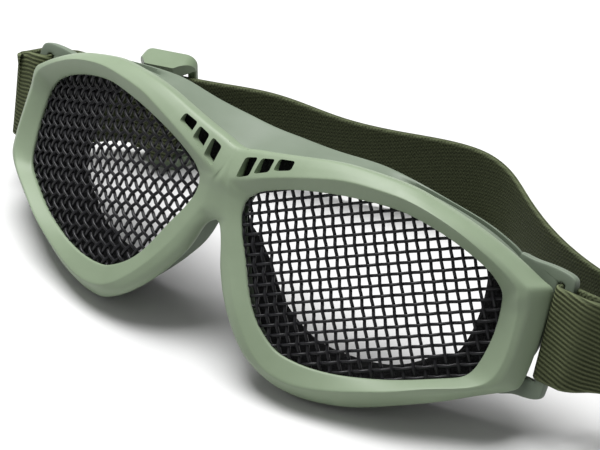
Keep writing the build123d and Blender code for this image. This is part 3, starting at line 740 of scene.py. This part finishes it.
# The strap's upright leans with the lugs at each end and stands square on the table between
table_up = np.array([0, 0, 1.0])
chords = np.concatenate([[0], np.cumsum(np.linalg.norm(np.diff(stations, axis=0), axis=1))])
leans = np.interp(run_length, chords[[0, 1, 2, 3, -4, -3, -2, -1]], [1, 1, .5, 0, 0, .3, 1, 1])[:, None]
lean_share = np.vstack([np.ones((len(right_loop), 1)), leans[1:-1], np.ones((len(left_loop), 1))])
strap_up = table_up + (lean_up - table_up) * lean_share
fade_points = 24
slack_fades = len(right_up) + np.arange(fade_points)
strap_up[slack_fades] += (right_up[-1] - lean_up) * np.linspace(1, 0, fade_points)[:, None]
strap_up[:len(right_up)] = right_up
strap, strap_length = webbing("strap", strap_line, strap_up)

elastic = Finish("elastic_webbing", "webbing", IOR=1.45, Specular_IOR_Level=.15)
rib_pitch, rib_slant, selvedge_from = .00112, .26, .0112
weft_pitch, warp_pitch = .0009, .0013
mapped = elastic.node("SeparateXYZ", None, {0: elastic.node("UVMap", {"uv_map": "weave"})[0]})
inward = mapped[1].above(head_side_shift / 2)
along, across = mapped[0], mapped[1] - inward * head_side_shift
ribs = ((across - along * rib_slant) * (2 * np.pi / rib_pitch)).sine()
threads = (along * (2 * np.pi / weft_pitch)).sine() * (across * (2 * np.pi / warp_pitch)).sine()
fuzz = elastic.noise(1400, 3, .7)
selvedge = (across.size() - selvedge_from).above(0)
weave = ribs * (inward * -.40 + .52) + threads * (inward * .16 + .06) + fuzz * .4
# The face towards the head is drawn darker all over, by the inward term of the blend: painted shade.
shade = elastic.blend(weave * .72 + (inward * -.28 + .36), (.020, .026, .011), (.128, .146, .074))
elastic.feed(Base_Color=elastic.blend(selvedge * .4, shade, (.17, .20, .11)), Roughness=fuzz * .1 + .78)
elastic.bump(weave, .8, .0004)
elastic.on(strap)
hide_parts("strap_band")
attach(strap, "strap")

# Sliders and sewn ends: a ladder slider of green plastic rides on each side. The strap's end is turned round
# the slider's middle bar and sewn back on itself, and a layer of the strap runs from there to the lug.
slider_plastic = moulded("slider_plastic", "slider_plastic", (.215, .275, .185), (.160, .210, .130), .42)
slider_plastic.on(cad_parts["slider_left"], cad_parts["slider_right"])

# Across a slider, from the strap's middle: the layers that lie on its inner face, and the bar behind them
layer_thick, layer_gap = 1.5, .75 + .3  # the gap is half the solid strap and a clearance
slider_bar_width, slider_bar_depth, slider_bar_gap, bar_room = 3.2, 2.2, .3, .6
first_layer, second_layer = layer_gap + layer_thick / 2, layer_gap + layer_thick / 2 + layer_thick
behind_bar = layer_gap + 2 * layer_thick + bar_room + slider_bar_depth + layer_thick / 2
bar_side = slider_bar_width / 2 + slider_bar_gap + layer_thick / 2
sewn_reach, seam_reach, sewn_fall = 12, 9, 2.4
sewn_plan = np.array([
    (-sewn_reach, first_layer, 0), (bar_side, first_layer, 0), (bar_side, behind_bar, 0),
    (-bar_side, behind_bar, 0), (-bar_side - sewn_fall, second_layer, 0), (-seam_reach, second_layer, 0)])

for side, name, middle, along_strap, start, heading, bend in (
        (1, "left", left_middle, left_direction, left_loop[-1], np.array([1.0, 0, 0]), (1.151, .312, .140)),
        (-1, "right", right_middle, right_direction, right_loop[0], back_way, (-.965, .432, .070))):
    across_slider = unit(np.cross(along_strap, np.array([-along_strap[1], along_strap[0], 0]) * side))
    to_head = np.cross(across_slider, along_strap)
    upright = across_slider * side
    line = rounded(sewn_plan, .8, .35)
    line = middle + line[:, :1] * along_strap + line[:, 1:2] * to_head
    sewn_end, sewn_length = webbing(f"sewn_end_{name}", line, np.broadcast_to(upright, line.shape))
    elastic.on(sewn_end)
    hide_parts(f"strap_hem_{name}")
    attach(sewn_end, f"slider_{name}")

    end = middle + along_strap * -sewn_reach + to_head * first_layer
    points = np.vstack([start, start + heading * lead, lifted([bend])[0], end - along_strap * lead, end])
    line, length = through(points, heading, along_strap, .8)
    chord = np.concatenate([[0], np.cumsum(np.linalg.norm(np.diff(points, axis=0), axis=1))])
    share = np.interp(length, chord, [1, 1, .3, 0, 0])[:, None]
    layer, layer_length = webbing(f"strap_layer_{name}", line, upright + (lean_up - upright) * share)
    elastic.on(layer)
    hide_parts(f"strap_return_{name}")
    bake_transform(layer)

# Studio: a pale table top under one large soft light from above, a weak one from the left, and a camera where
# the picture was taken from, whose directions were fitted to the outline of both halves of the frame.
floor_half = 3  # metres
floor_corners = np.array([(-1, -1, 0), (1, -1, 0), (1, 1, 0), (-1, 1, 0)]) * floor_half
floor = piece("table_top", floor_corners, [(0, 1, 2, 3)], False)
paper = bpy.data.materials.new("pale_table")
paper.use_nodes = True
paper.node_tree.nodes["Principled BSDF"].inputs["Base Color"].default_value = (.66, .66, .66, 1)
paper.node_tree.nodes["Principled BSDF"].inputs["Roughness"].default_value = .7
floor.data.materials.append(paper)

world = bpy.data.worlds.new("white_studio")
world.use_nodes = True
world.node_tree.nodes["Background"].inputs["Color"].default_value = (1, 1, 1, 1)
world.node_tree.nodes["Background"].inputs["Strength"].default_value = .22
bpy.context.scene.world = world
bpy.context.scene.view_settings.view_transform = "Standard"


def soft_light(name, place, size, power):
    """Square soft box aimed at the goggles."""
    light = bpy.data.lights.new(name, "AREA")
    light.size, light.energy = size, power
    lamp = bpy.data.objects.new(name, light)
    lamp.location = place
    lamp.rotation_euler = (Vector((0, 0, .02)) - Vector(place)).to_track_quat("-Z", "Y").to_euler()
    bpy.context.scene.collection.objects.link(lamp)


soft_light("light_key", (-.28, .16, 1.2), .8, 26.5)
soft_light("light_left", (-.8, -.8, .6), .8, .8)

view = bpy.data.cameras.new("picture_view")
view.lens, view.sensor_width, view.clip_start = 147.5, 36, .01
camera = bpy.data.objects.new("picture_view", view)
right_way, up_way, away_way = (.7673, .641, 0), (-.3576, .4275, .830), (.5324, -.637, .557)
facing = Matrix((right_way, up_way, away_way)).transposed()
camera.matrix_world = Matrix.Translation((.2981, -.4066, .3704)) @ facing.to_4x4()
bpy.context.scene.collection.objects.link(camera)
bpy.context.scene.camera = camera
